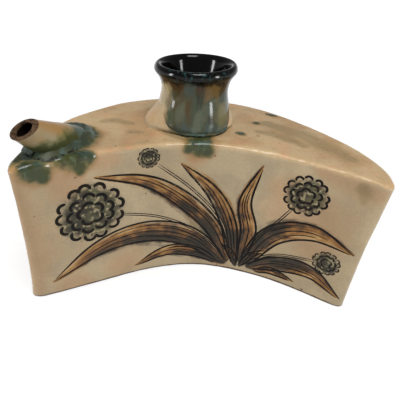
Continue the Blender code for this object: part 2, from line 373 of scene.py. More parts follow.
def glaze_colour(red, green, blue):
    """A colour given as it looks on screen, 0 to 255, in the linear form that Blender's sockets take."""
    parts = [part / 255 for part in (red, green, blue)]
    return [*(part / 12.92 if part <= 0.04045 else ((part + 0.055) / 1.055) ** 2.4 for part in parts), 1]


class Amount:
    """A number, place or colour that shader nodes work out; + - * and / on it add Math nodes."""

    def __init__(self, node, output=0):
        self.socket = node.outputs[output]
        self.tree = node.id_data

    def __add__(self, other):
        return calc("ADD", self, other)

    def __sub__(self, other):
        return calc("SUBTRACT", self, other)

    def __rsub__(self, other):
        return calc("SUBTRACT", other, self)

    def __mul__(self, other):
        return calc("MULTIPLY", self, other)

    def __truediv__(self, other):
        return calc("DIVIDE", self, other)


def plug(value, socket):
    """Links an amount to a socket, or sets a plain value on it."""
    if isinstance(value, Amount):
        value.tree.links.new(value.socket, socket)
    else:
        socket.default_value = value


def add_node(tree, kind, plugs=None, **settings):
    """Adds a shader node, sets its properties, and plugs a value into each named input."""
    made = tree.nodes.new("ShaderNode" + kind)
    for name, value in settings.items():
        setattr(made, name, value)
    for name, value in (plugs or {}).items():
        plug(value, made.inputs[name])
    return made


def calc(operation, first, second=0.0):
    """The result of one Math node."""
    tree = first.tree if isinstance(first, Amount) else second.tree
    return Amount(add_node(tree, "Math", {0: first, 1: second}, operation=operation))


def rise(value, low, high):
    """0 below low and 1 above high, with a smooth rise between them."""
    plugs = {"Value": value, "From Min": low, "From Max": high}
    return Amount(add_node(value.tree, "MapRange", plugs, interpolation_type="SMOOTHSTEP"))


def lay(share, under, over):
    """One colour laid over another by a share from 0 to 1; each is an amount, or as it looks on screen."""
    under, over = (tone if isinstance(tone, Amount) else glaze_colour(*tone) for tone in (under, over))
    return Amount(add_node(share.tree, "Mix", {0: share, 6: under, 7: over}, data_type="RGBA"), 2)


def grain(place, scale, detail, roughness=0.5, distortion=0):
    """Plain noise, from 0 to 1."""
    return Amount(add_node(place.tree, "TexNoise", {
        "Vector": place, "Scale": scale, "Detail": detail, "Roughness": roughness, "Distortion": distortion}))


def drawn_out(place, squeeze):
    """Places squeezed upright by this share, so that a pattern on them comes out drawn down."""
    return Amount(add_node(place.tree, "Mapping", {"Vector": place, "Scale": (1, 1, squeeze)}))


def split(place):
    """The X, Y and Z of a place or a direction."""
    made = add_node(place.tree, "SeparateXYZ", {0: place})
    return [Amount(made, axis) for axis in "XYZ"]


def upward(tree):
    """How far a face looks up: the Z of its normal."""
    return split(Amount(add_node(tree, "NewGeometry"), "Normal"))[2]


def facing_up(tree):
    """0 on upright faces and 1 on faces that look up."""
    return rise(upward(tree), 0.25, 0.85)


def read_mark(tree, name):
    """The number stored on the mesh under this name."""
    return Amount(add_node(tree, "Attribute", attribute_name=name), "Fac")


def start_group(name, output, *inputs, output_kind="NodeSocketFloat"):
    """A new node group: its tree, the socket of its output, its Vector, and an amount for each input."""
    tree = bpy.data.node_groups.new(name, "ShaderNodeTree")
    tree.interface.new_socket(output, in_out="OUTPUT", socket_type=output_kind)
    tree.interface.new_socket("Vector", in_out="INPUT", socket_type="NodeSocketVector")
    for label in inputs:
        tree.interface.new_socket(label, in_out="INPUT", socket_type="NodeSocketFloat")
    entry = tree.nodes.new("NodeGroupInput")
    given = [Amount(entry, label) for label in ("Vector", *inputs)]
    return tree, tree.nodes.new("NodeGroupOutput").inputs[output], *given


def use_group(group, **plugs):
    """Places a node group in the tree that its Vector comes from, and gives its output."""
    made = plugs["Vector"].tree.nodes.new("ShaderNodeGroup")
    made.node_tree = group
    for name, value in plugs.items():
        plug(value, made.inputs[name])
    return Amount(made)


def make_cloud():
    """Soft clouds in a glaze: noise that is 0 below Low and 1 above High."""
    tree, result, place, scale, detail, low, high = start_group(
        "glaze_cloud", "Mask", "Scale", "Detail", "Low", "High")
    plug(rise(grain(place, scale, detail), low, high), result)
    return tree


def clouds(place, scale, detail=3, low=0.4, high=0.6):
    """Soft clouds of this scale and detail, 0 where their noise is below low and 1 above high."""
    return use_group(cloud, Vector=place, Scale=scale, Detail=detail, Low=low, High=high)


def make_ragged_edge():
    """The irregular edge of a pool, run or brush stroke, from a field that grows towards its middle."""
    tree, result, place, field, level, softness, scale, tear = start_group(
        "ragged_edge", "Mask", "Field", "Level", "Softness", "Scale", "Tear")
    torn = field + (grain(place, scale, 4, 0.6) - 0.5) * tear
    plug(rise(torn, level - softness, level + softness), result)
    return tree


def ragged(place, field, level, softness, scale, tear):
    """1 where a field passes a level and 0 elsewhere, with a soft edge torn by noise of this scale."""
    return use_group(ragged_edge, Vector=place, Field=field, Level=level, Softness=softness, Scale=scale,
                     Tear=tear)


def make_specks():
    """Small round specks: a share of the cells of a Voronoi pattern each hold one."""
    tree, result, place, scale, radius, share = start_group("iron_specks", "Mask", "Scale", "Radius", "Share")
    cells = add_node(tree, "TexVoronoi", {"Vector": place, "Scale": scale})
    chance = Amount(add_node(tree, "SeparateColor", {0: Amount(cells, "Color")}))
    small = radius * (chance + 0.5)
    spot = 1 - rise(Amount(cells, "Distance"), small * 0.5, small)
    plug(calc("LESS_THAN", chance, share) * spot, result)
    return tree


def make_glaze_relief():
    """The height of a fired glaze's skin: fine and slow waves, as of orange peel, with a few pin holes."""
    tree, result, place, scale, pits = start_group("glaze_relief", "Height", "Scale", "Pits")
    peel = grain(place, scale, 2) + grain(place, scale * 0.22, 1) * 3
    plug(peel - use_group(specks, Vector=place, Scale=260, Radius=0.12, Share=pits) * 2, result)
    return tree


def make_cream_glaze():
    """The clear glaze over the clay: cream on upright faces, and peach where Up or Flush is high."""
    tree, result, place, up, flush = start_group(
        "cream_to_peach", "Color", "Up", "Flush", output_kind="NodeSocketColor")
    spread = clouds(place, 22, 3, low=0.35, high=0.65)
    cream = lay(spread, (184, 165, 133), (174, 154, 122))
    cream = lay(clouds(place, 55, 4, low=0.44, high=0.7) * 0.7, cream, (158, 145, 118))
    freckle = clouds(place, 420, 4, low=0.5, high=0.66)
    warm = lay(spread, (180, 144, 106), (168, 134, 100))
    warm = lay(freckle * 0.3, warm, (188, 134, 94))
    flushed = ragged(place, flush, level=0.2, softness=0.5, scale=38, tear=1.5)
    cream = lay(flushed * 0.62, cream, warm)
    peach = lay(clouds(place, 40, 4, low=0.4, high=0.6), (192, 166, 127), (179, 147, 107))
    blush = clouds(place, 95, 4, low=0.5, high=0.68) * (freckle * 0.6 + 0.16)
    peach = lay(blush, peach, (204, 148, 110))
    dust = clouds(place, 700, 2, low=0.3, high=0.7) * 0.12
    plug(lay(up, lay(dust, cream, (120, 96, 72)), lay(dust, peach, (130, 92, 62))), result)
    return tree


cloud = make_cloud()
ragged_edge = make_ragged_edge()
specks = make_specks()
glaze_relief = make_glaze_relief()
cream_to_peach = make_cream_glaze()


def new_glaze(name, relief_depth, relief_scale, pits, **constants):
    """A glazed surface with its relief, as a Principled shader with a Bump node and Object coordinates."""
    material = bpy.data.materials.new(name)
    material.use_nodes = True
    tree = material.node_tree
    shader = tree.nodes["Principled BSDF"]
    for label, value in constants.items():
        shader.inputs[label.replace("_", " ")].default_value = value
    place = Amount(add_node(tree, "TexCoord"), "Object")
    relief = use_group(glaze_relief, Vector=place, Scale=relief_scale, Pits=pits)
    bump = add_node(tree, "Bump", {"Strength": 1, "Distance": relief_depth, "Height": relief})
    plug(Amount(bump), shader.inputs["Normal"])
    return material, tree, shader.inputs, place


# Glaze of the body: cream on the walls, peach on the top where the flame reached it, with olive
# clouds, copper green runs in amber haloes, the brushed iron and slate green, iron specks, and bare
# brown clay round the foot.
body_glaze, tree, socket, place = new_glaze(
    "cream_glaze", 0.02 * mm, 380, 0.05, Specular_IOR_Level=0.1, Coat_Weight=0.3, Coat_Roughness=0.03)
colour = use_group(cream_to_peach, Vector=place, Up=facing_up(tree), Flush=read_mark(tree, "flush"))
olive_share = ragged(place, read_mark(tree, "olive"), level=0.22, softness=0.4, scale=60, tear=1.5)
colour = lay(olive_share * 0.62, colour, (134, 116, 80))
copper_field = read_mark(tree, "copper")
halo = ragged(place, copper_field, level=-0.3, softness=0.35, scale=80, tear=1.3)
colour = lay(halo * 0.6, colour, (160, 120, 74))
thin_copper = ragged(place, copper_field, level=0.04, softness=0.36, scale=120, tear=1.0)
moss = clouds(place, 210, 5, low=0.42, high=0.6)
colour = lay(thin_copper * 0.85, colour, lay(moss, (84, 84, 44), (116, 112, 76)))
thick_copper = ragged(place, copper_field, level=0.26, softness=0.32, scale=190, tear=1.5)
drawn = drawn_out(place, 0.35)
mossy = calc("MAXIMUM", clouds(drawn, 190, 5, low=0.42, high=0.56), (1 - facing_up(tree)) * 0.7)
copper_colour = lay(mossy, (50, 68, 61), (62, 67, 35))
copper_colour = lay(clouds(drawn, 120, 5, low=0.5, high=0.64) * 0.75, copper_colour, (38, 48, 36))
copper_colour = lay(clouds(drawn, 300, 5, low=0.52, high=0.66) * 0.45, copper_colour, (98, 112, 92))
colour = lay(thick_copper * 0.95, colour, copper_colour)
stroke_place = Amount(add_node(tree, "CombineXYZ", {
    "X": read_mark(tree, "iron_along"), "Y": read_mark(tree, "iron_across")}))
brush = grain(stroke_place, 1, 4, 0.6) - 0.5
smudge = clouds(place, 75, 3, low=0.36, high=0.62) - 0.5
wash = ragged(place, read_mark(tree, "iron") + brush, level=0.1, softness=0.24, scale=130, tear=0.5)
thickness = read_mark(tree, "iron_depth") + brush * 1.1 + smudge * 0.34
wash_colour = add_node(tree, "ValToRGB", {0: thickness})
stops = wash_colour.color_ramp.elements
stops[0].position, stops[0].color = 0.03, glaze_colour(178, 144, 96)
stops[1].position, stops[1].color = 0.9, glaze_colour(12, 8, 5)
for position, tone in ((0.2, (154, 112, 60)), (0.4, (124, 82, 38)), (0.56, (76, 48, 24)),
                       (0.72, (36, 23, 13))):
    stops.new(position).color = glaze_colour(*tone)
colour = lay(wash * 0.94, colour, Amount(wash_colour))
slate = ragged(place, read_mark(tree, "slate"), level=0.1, softness=0.2, scale=160, tear=0.5)
slate_colour = lay(clouds(place, 150, 3, low=0.4, high=0.62), (16, 17, 11), (74, 74, 50))
slate_colour = lay(clouds(place, 300, 2, low=0.53, high=0.66) * 0.85, slate_colour, (158, 146, 112))
colour = lay(slate * 0.92, colour, slate_colour)
for scale, radius, share, strength, tone in ((170, 0.24, 0.14, 0.7, (96, 62, 38)),
                                             (66, 0.15, 0.2, 0.8, (58, 40, 28))):
    speck = use_group(specks, Vector=place, Scale=scale, Radius=radius, Share=share)
    colour = lay(speck * strength, colour, tone)
bare = ragged(place, read_mark(tree, "foot"), level=0.55, softness=0.12, scale=120, tear=0.5)
plug(lay(bare, colour, (74, 50, 34)), socket["Base Color"])
plug(clouds(place, 90) * 0.1 + 0.26 + bare * 0.35 - thick_copper * 0.12, socket["Roughness"])

body = show("body", body_mesh, body_glaze)
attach(body, "root")
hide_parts("base_slab", "front_wall", "right_end_wall", "back_wall", "left_end_wall", "top_slab")

# Incised decoration
# Reeds and round blossoms are cut freehand through the slip with a pointed tool while the clay is
# leather hard. Iron pigment is rubbed into the lines and brushed loosely over the leaves, and slate
# green over the blossoms, before the clear glaze goes on.
reeds = [
    ([(22, 7), (-4, 27), (-36, 36), (-66, 31), (-97, 12)], 8.2, 1.0),
    ([(25, 9), (12, 36), (-12, 60), (-36, 76), (-66, 84)], 5.8, 0.9),
    ([(29, 9), (22, 40), (8, 66), (-14, 86)], 5.2, 0.95),
    ([(34, 10), (36, 38), (30, 62), (37, 90)], 4.8, 0.8),
    ([(37, 9), (52, 40), (76, 52), (105, 47)], 7.2, 1.05),
    ([(41, 7), (60, 17), (84, 20), (107, 8)], 5.8, 0.95),
    ([(16, 6), (2, 13), (-18, 16), (-42, 7)], 4.6, 0.95),
    ([(46, 5), (58, 9), (74, 6)], 2.6, 0.8),
    ([(31, 6), (27, 16), (19, 24)], 2.2, 1.0),
    ([(35, 6), (41, 18), (50, 25)], 2.2, 1.0),
]
blossoms = [
    ((-70, 60), 20, [(24, 11), (4, 30), (-24, 46), (-54, 55)]),
    ((66, 77), 13.5, [(34, 11), (44, 36), (54, 54), (61, 67)]),
    ((-34, 91.5), 6.5, [(27, 12), (17, 42), (-4, 66), (-28, 86)]),
    ((91, 33), 9, [(38, 9), (56, 24), (83, 31)]),
]
petal_rings = [(0.24, 5), (0.54, 9), (0.86, 13)]   # share of the blossom's radius, and petals
petal_points = 16
petal_reach = 0.17
stem_half_width = 0.7
stroke_step = 0.8
outline_pen = 0.95
vein_pen = 0.42
petal_pen = 0.85          # on a blossom of full_blossom radius, and finer on a smaller one
full_blossom = 12
wall_reach = 2.5 * mm
arris_margin = 1.5 * mm
foot_margin = 0.5 * mm
groove_depth = 0.22 * mm
groove_reach = 1.5
burr_height = 0.04 * mm
tip_gap = 3               # points by which one edge of a leaf stops short, so that they don't cross
wash_margin = 1.6         # how far the brushed iron reaches past a leaf's edge
nothing_near = -3.0
hand = np.random.default_rng(7)


def smooth_curve(points, pieces, closed=False):
    """A smooth curve (Catmull-Rom) through points, with this many pieces between two of them."""
    points = np.array(points, float)
    if closed:
        padded = np.concatenate([points[-1:], points, points[:2]])
    else:
        padded = np.concatenate([[2 * points[0] - points[1]], points, [2 * points[-1] - points[-2]]])
    t = np.linspace(0, 1, pieces, endpoint=False)[:, None]
    line = []
    for before, start, end, after in zip(padded, padded[1:], padded[2:], padded[3:]):
        bend = 2 * before - 5 * start + 4 * end - after
        twist = 3 * start - before - 3 * end + after
        line.append(0.5 * (2 * start + (end - before) * t + bend * t ** 2 + twist * t ** 3))
    return np.concatenate(line if closed else line + [points[-1:]])


def smooth_path(points):
    """A smooth line through given points, evenly spaced."""
    return resample(smooth_curve(points, 40))


def resample(line, step=stroke_step):
    """The same line with its points evenly spaced, about a step apart."""
    run = run_along(line)
    return places_along(line, run, np.linspace(0, run[-1], max(3, int(run[-1] / step) + 1)))


def beside(line):
    """Unit vectors square to a line, to its left."""
    ahead = np.gradient(line, axis=0)
    ahead /= np.hypot(*ahead.T)[:, None] + 1e-9
    return np.stack([-ahead[:, 1], ahead[:, 0]], 1)


def blade_width(share):
    """How wide a leaf is along its length, as a share of its widest: narrow root, full middle, fine tip."""
    return 0.22 * (1 - share) ** 3 + np.sin(np.pi * np.clip(share, 0, 1) ** 0.8) ** 0.85


strokes = {"incised_leaves": [], "incised_veins": [], "incised_stems": [], "incised_blossoms": []}
wash_points = []
for path, half, strength in reeds:
    spine = smooth_path(path)
    share = np.linspace(0, 1, len(spine))
    side = beside(spine)
    width = half * blade_width(share)
    wash_points.append((spine, width, share, strength))
    for direction in (-1, 1):
        shake = 0.25 * np.sin(share * hand.uniform(7, 12) + hand.uniform(0, 6))
        edge = spine + side * (direction * (width + shake))[:, None]
        stop = len(edge) - (0 if direction > 0 else tip_gap)
        strokes["incised_leaves"].append((resample(edge[:stop]), outline_pen))
    stop = int(len(spine) * hand.uniform(0.8, 0.92))
    strokes["incised_veins"].append((spine[3:stop], vein_pen * 1.2))
    for number in range(max(2, int(half))):
        offset = hand.uniform(0.3, 0.65) * (1 if number % 2 else -1)
        start = int(len(spine) * hand.uniform(0.08, 0.5))
        stop = min(len(spine) - 4, start + int(len(spine) * hand.uniform(0.16, 0.34)))
        vein = spine + side * (offset * width)[:, None]
        strokes["incised_veins"].append((vein[start:stop], vein_pen))

bloom_points = []
for centre, radius, stem in blossoms:
    line = smooth_path(stem)
    side = beside(line)
    for direction in (-1, 1):
        strokes["incised_stems"].append((line + side * (direction * stem_half_width), vein_pen * 1.1))
    bloom_points.append((np.array(centre), radius))
    for ring_share, petals in petal_rings:
        for number in range(petals):
            turn = 2 * math.pi * (number + 0.5 * (petals % 2)) / petals + hand.uniform(-0.08, 0.08)
            middle = np.array(centre) + radius * ring_share * np.array([math.cos(turn), math.sin(turn)])
            curl = np.linspace(-1.8, 1.5, petal_points) * hand.uniform(0.85, 1.05) + turn
            reach = petal_reach * radius * np.linspace(1.12, 0.82, petal_points)[:, None]
            petal = middle + reach * np.stack([np.cos(curl), np.sin(curl)], 1)
            strokes["incised_blossoms"].append((resample(petal, 0.5), petal_pen * radius / full_blossom))

places = read_places(body_mesh)
upright_places = 2 * places - lean(places)
x, y, z = upright_places.T
on_wall = (np.abs(y - front_line(x)) < wall_reach) & (z < body_height - arris_margin) & (z > foot_margin)
flat_places = np.stack([np.interp(x[on_wall], arc_x, arc_s), z[on_wall]], 1) / mm

all_lines = np.concatenate([line for group in strokes.values() for line, pen in group])
gaps = [np.sqrt(((block[:, None] - all_lines[None]) ** 2).sum(2).min(1))
        for block in np.array_split(flat_places, 60)]
grooved = np.zeros(len(places))
grooved[on_wall] = ramp(-np.concatenate(gaps), -groove_reach, -0.2)
write_places(body_mesh, places - read_normals(body_mesh) * (groove_depth * grooved)[:, None])


def mark_wall(name, values, elsewhere=0.0):
    """Stores numbers for the places of the front wall, and the same one everywhere else."""
    mark = np.full(len(places), elsewhere)
    mark[on_wall] = values
    write_mark(body_mesh, name, mark)


# Where the iron lies: each place on the wall takes it from the leaf that it lies deepest in
rows = np.arange(len(flat_places))
iron = np.full(len(flat_places), nothing_near)
brushed = {name: np.zeros(len(flat_places)) for name in ("iron_depth", "iron_along", "iron_across")}
for spine, width, share, strength in wash_points:
    shifted = spine + beside(spine) * (width * hand.uniform(-0.22, 0.22))[:, None]
    shifted = shifted + hand.uniform(-0.7, 0.7, 2)
    offset = flat_places[:, None] - shifted[None]
    distance = np.hypot(offset[..., 0], offset[..., 1])
    nearest = (distance / (width + wash_margin)).argmin(axis=1)
    field = 1 - distance[rows, nearest] / (width[nearest] * 1.05 + 0.9)
    across = (offset[rows, nearest] * beside(shifted)[nearest]).sum(axis=1) / (width[nearest] + 1)
    deeper = field > iron
    iron = np.where(deeper, field, iron)
    depth = strength * (0.92 - 0.78 * share[nearest]) + 0.3 * across
    for name, value in zip(brushed, (depth, share[nearest] * 7, across * 4)):
        brushed[name] = np.where(deeper, value, brushed[name])
slate = [1 - np.hypot(*(flat_places - centre).T) / (radius * 1.02) for centre, radius in bloom_points]
mark_wall("iron", iron, nothing_near)
mark_wall("slate", np.max(slate, axis=0), nothing_near)
for name, values in brushed.items():
    mark_wall(name, values)
write_mark(body_mesh, "foot", ramp(-places[:, 2], -4 * mm, 0))

bm = bmesh.new()
bm.from_mesh(body_mesh)
body_surface = BVHTree.FromBMesh(bm)
bm.free()

line_slip, tree, socket, place = new_glaze(
    "iron_line", 0.01 * mm, 500, 0.1, Specular_IOR_Level=0.12, Roughness=0.35)
plug(lay(clouds(place, 220, 3, low=0.45, high=0.8), (8, 6, 4), (40, 27, 16)), socket["Base Color"])

# Across the groove: sunk edge, burr, floor, burr, sunk edge, and a point under the surface
section_across = [-1, -0.62, 0, 0.62, 1, 0, -1]
section_height = [-0.07 * mm, burr_height, 0.015 * mm, burr_height, -0.07 * mm, -0.3 * mm, -0.07 * mm]
section_steps = len(section_across) - 1

for name, group in strokes.items():
    bm = bmesh.new()
    for line, pen in group:
        if len(line) < 3:
            continue
        share = np.linspace(0, 1, len(line))
        width = pen * np.clip(1.5 * np.sin(np.pi * np.clip(share, 0.015, 0.985)) ** 0.5, 0.12, 1)
        side = beside(line)
        steps = len(line) - 1
        made = bmesh.ops.create_grid(bm, x_segments=steps, y_segments=section_steps, size=0.5)["verts"]
        for vert in made:
            along = round((vert.co.x + 0.5) * steps)
            across = round((vert.co.y + 0.5) * section_steps)
            s, z = line[along] + side[along] * width[along] * section_across[across]
            hit, normal, _, _ = body_surface.find_nearest(Vector(on_front(s, z)))
            vert.co = hit + normal * section_height[across]
        bmesh.ops.remove_doubles(bm, verts=made, dist=0.002 * mm)
    bmesh.ops.holes_fill(bm, edges=[edge for edge in bm.edges if edge.is_boundary], sides=8)
    bmesh.ops.recalc_face_normals(bm, faces=bm.faces)
    lines = show(name, mesh_from(bm, name), line_slip)
    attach(lines, "root")

# Openings of the body
# A round hole is cut in the top slab under the neck, and a small one is punched under the spout,
# before they are luted on. Through them the hollow of the body can be seen.
neck_axis = Vector((-6.2 * mm, -8.4 * mm, 0))
neck_hole = 18.2 * mm
spout_foot = Vector((-82.7 * mm, -45.7 * mm, body_height))
spout_hole = 6 * mm
holes = [(neck_axis, neck_hole), (spout_foot, spout_hole)]
hole_depth = 2.5 * mm     # how far under the level of a slab its faces are still cut away
hollow_columns = 90
hollow_depth_rows = 14
hollow_rows = 10

hollow = crescent_block(wall_thickness, wall_thickness, body_height - wall_thickness, hollow_columns,
                        hollow_depth_rows, hollow_rows)
outside = bmesh.new()
outside.from_mesh(body_mesh)


def edge_of_hole(bm, centre, reach):
    """The open edges of a shape within this reach of a hole's middle."""
    return [edge for edge in bm.edges
            if edge.is_boundary and (edge.verts[0].co - centre).to_2d().length < reach]


def open_hole(bm, centre, radius, level):
    """Deletes the faces at this level inside a circle and rounds the hole off."""
    inside = [face for face in bm.faces if face.calc_center_median().z > level - hole_depth
              and (face.calc_center_median() - centre).to_2d().length < radius]
    bmesh.ops.delete(bm, geom=inside, context="FACES")
    for vert in {vert for edge in edge_of_hole(bm, centre, radius * 1.6) for vert in edge.verts}:
        outward = (vert.co - centre).to_2d()
        vert.co.xy = centre.xy + outward.normalized() * radius


for centre, radius in holes:
    open_hole(outside, centre, radius, body_height)
    open_hole(hollow, centre, radius, body_height - wall_thickness)
bmesh.ops.reverse_faces(hollow, faces=hollow.faces)
outside.from_mesh(mesh_from(hollow, "hollow"))
for centre, radius in holes:
    bmesh.ops.bridge_loops(outside, edges=edge_of_hole(outside, centre, radius * 1.3))
outside.to_mesh(body_mesh)
outside.free()
body_mesh.shade_smooth()

# Neck
# The neck is thrown on the wheel, luted on, and glazed over twice: a black tenmoku on the lip and
# inside runs down over the cream and breaks to amber, olive and grey green, and pools at the foot.
# It dried with a lean to the left.
neck_height = 39 * mm
neck_lean = math.radians(1.6)
neck_tilt = math.radians(3.6)
neck_lean_heading = math.radians(160)
neck_profile = [  # radius and height in millimetres above the top, from the foot up
    (19.6, -0.6), (21.6, 0.6), (23.3, 2.2), (23.7, 4.4), (23.4, 7), (22.8, 11), (22.1, 15), (21.3, 19),
    (20.8, 22.2), (20.9, 25.6), (21.8, 29.2), (23.3, 32), (24.8, 34), (25.45, 35.6), (25.15, 37.3),
    (24.2, 38.6), (22.9, 39), (21.5, 38.3), (20.4, 36.8), (19.6, 34.4), (18.4, 30.5), (17.1, 26),
    (16.2, 20), (16.0, 14), (16.0, 4), (16.0, -6.4), (17.9, -6.4), (18.0, -0.8), (19.6, -0.6),
]
neck_turns = 168
profile_pieces = 3
inner_start = 17          # the point of the profile where the inside begins
lip_radius = 25 * mm


def pointing(heading, elevation=0):
    """The unit vector that points this way: heading from +X towards +Y, elevation from level."""
    flat = math.cos(elevation)
    return Vector((flat * math.cos(heading), flat * math.sin(heading), math.sin(elevation)))


def lean_over(places):
    """The neck's axis slopes, and its sections tilt more the higher they lie, so that its foot is level."""
    side = np.array(pointing(neck_lean_heading))
    out = (places - np.array(neck_axis)) @ side
    up = places[:, 2] - body_height
    tilt = neck_tilt * np.maximum(0, up) / neck_height
    moved = places + side * (out * (np.cos(tilt) - 1) + up * math.tan(neck_lean))[:, None]
    moved[:, 2] -= out * np.sin(tilt)
    return moved


def turn_round(bm, ring, centre, steps):
    """Turns a closed ring of points round the upright line through a centre."""
    edges = [bm.edges.new((ring[number - 1], ring[number])) for number in range(len(ring))]
    bmesh.ops.spin(bm, geom=ring + edges, cent=centre, axis=(0, 0, 1), angle=2 * math.pi, steps=steps,
                   use_merge=True)


profile = smooth_curve(neck_profile[:-1], profile_pieces, closed=True)
bm = bmesh.new()
inside_layer = bm.verts.layers.float.new("inside")
ring = [bm.verts.new((neck_axis.x + radius * mm, neck_axis.y, body_height + up_mm * mm))
        for radius, up_mm in profile]
for number, vert in enumerate(ring):
    vert[inside_layer] = ramp(number / profile_pieces, inner_start - 0.5, inner_start + 1.5)
turn_round(bm, ring, neck_axis, neck_turns)
bmesh.ops.recalc_face_normals(bm, faces=bm.faces)
neck_mesh = mesh_from(bm, "neck_clay")
places = read_places(neck_mesh)
off_axis = places - np.array([*neck_axis.xy, 0])
radius = np.hypot(off_axis[:, 0], off_axis[:, 1])
azimuth = np.arctan2(off_axis[:, 1], off_axis[:, 0])
up_share = (places[:, 2] - body_height) / neck_height
at_lip = ramp(up_share, 0.8, 1)
turning = 0.22 * np.sin(2 * azimuth + 0.7) + 0.12 * np.sin(3 * azimuth + 2.1)
turning = turning * ramp(up_share, 0, 0.3) + uneven(places, (0.14, 11, 9.3))
fresh = places + off_axis / radius[:, None] * (turning * mm)[:, None] * (1, 1, 0)
fresh[:, 2] += (0.16 * np.sin(azimuth * 2 + 1.2) - 0.2) * mm * at_lip
write_places(neck_mesh, lean_over(fresh))

neck_glaze, tree, socket, place = new_glaze(
    "dark_running_glaze", 0.015 * mm, 300, 0.06,
    Specular_IOR_Level=0.17, Coat_Weight=0.08, Coat_Roughness=0.02, Roughness=0.13)
centred = Amount(add_node(tree, "Mapping", {
    "Vector": place, "Location": (-neck_axis.x, -neck_axis.y, -body_height)}))
rightward, backward, above_top = split(centred)
level = (above_top - rightward * math.sin(neck_tilt)) / neck_height
bearing = calc("ARCTAN2", rightward, backward * -1)
drawn = drawn_out(centred, 0.42)
long_runs = drawn_out(centred, 0.14)
mottle = grain(drawn, 170, 5, 0.62, 0.6) - 0.5
broad = grain(long_runs, 85, 3) - 0.5
shifted = level + mottle * 0.3 + broad * 0.5
colour = lay(clouds(long_runs, 150, 4, low=0.42, high=0.6), (72, 58, 34), (62, 70, 54))
colour = lay(clouds(long_runs, 115, 4, low=0.5, high=0.64) * 0.85, colour, (34, 33, 22))
ash = clouds(drawn, 140, 5, low=0.5, high=0.66)
colour = lay(ash * 0.5, colour, (98, 102, 82))
colour = lay(clouds(drawn, 250, 5, low=0.54, high=0.66) * 0.5, colour, (60, 78, 62))
pool = 1 - rise(shifted, 0.04, 0.2)
colour = lay(pool * 0.8, colour, lay(ash, (64, 76, 70), (92, 104, 96)))
colour = lay(rise(shifted, 0.66, 0.8) * 0.9, colour, (70, 50, 26))
colour = lay(rise(shifted, 0.78, 0.9), colour, (26, 20, 14))


def streak(middle, half, low, high):
    """A ragged upright streak on the neck: its bearing and half width in degrees, between two levels."""
    off = calc("ABSOLUTE", bearing - math.radians(middle)) / math.radians(half) + broad * 1.6 + mottle * 1.1
    between = rise(shifted, low, low + 0.12) * (1 - rise(shifted, high - 0.12, high))
    return (1 - rise(off, 0.4, 1.1)) * between


# A lower level of -2 lets a streak start at the foot
for middle, half, low, high, share, tone in (
        (-108, 62, -2, 0.8, 0.92, (176, 159, 121)), (52, 22, 0.1, 0.6, 0.85, (108, 101, 70)),
        (-14, 9, 0.52, 0.9, 0.75, (62, 76, 70)), (70, 12, 0.3, 0.94, 0.8, (78, 90, 92)),
        (26, 22, 0.5, 0.86, 0.8, (112, 88, 48)), (150, 52, -2, 0.6, 0.85, (152, 136, 104)),
        (-34, 14, 0.1, 0.5, 0.4, (98, 104, 84)), (-116, 62, -2, 0.42, 0.9, (184, 158, 122))):
    colour = lay(streak(middle, half, low, high) * share, colour, tone)
lip = rise(level + (mottle + broad) * 0.16, 0.77, 0.85)
lip_colour = lay(clouds(place, 160, low=0.55, high=0.85), (5, 5, 5), (26, 20, 17))
# Teal flecks in the black lip, gathered on its front: partly the glaze's own flecks and partly a painted
# glint
fleck_and_glint_noise = clouds(place, 380, low=0.52, high=0.68)
fleck_and_front_glint = fleck_and_glint_noise * rise(backward / -lip_radius, 0.55, 0.9) * rise(level, 0.8, 0.88)
lip_colour = lay(fleck_and_front_glint * 0.7, lip_colour, (38, 74, 72))
plug(lay(calc("MAXIMUM", lip, read_mark(tree, "inside")), colour, lip_colour), socket["Base Color"])

neck = show("thrown_neck", neck_mesh, neck_glaze)
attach(neck, "root")
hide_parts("neck")

# Neck collar
# A coil of soft clay is wiped round the neck's foot. Behind and on the left it is smeared up into a
# wide fillet under cream glaze, and in front it is a narrow bead where the copper glaze pooled.
collar_overlap = 0.35
neck_foot = neck_profile[:9]   # its outer side, up to the waist
collar_turns = 220
collar_steps = 14
closing_steps = 4
bead_width = 2.6
bead_rise = 2.4
smear_width = 5
smear_rise = 15
left_width = 4            # how much wider the smear gets on the left
left_reach = 0.35         # how much further round it comes there
fillet_bend = 1.4
closing_radius = 19
closing_depth = 1.2
closing_inset = 1.2
pit_shade_rings = 6
smear_heading = Vector((-0.12, 0.993, 0))
run_heading = Vector((0.22, -0.975, 0))


def neck_radius(up_mm):
    """The neck's outer radius at this height above the top, both in millimetres."""
    return np.interp(up_mm, [up for radius, up in neck_foot], [radius for radius, up in neck_foot])


def clay_ring(turns, rings):
    """The start of a coil: its shape, its layer of painted pit shade, and each point's vertex, bearing and
    ring.
    """
    bm = bmesh.new()
    pit_shade_layer = bm.verts.layers.float.new("pit_shade")
    bmesh.ops.create_grid(bm, x_segments=turns, y_segments=rings, size=0.5)
    spots = [(vert, (vert.co.x + 0.5) * 2 * math.pi, round((vert.co.y + 0.5) * rings)) for vert in bm.verts]
    return bm, pit_shade_layer, spots


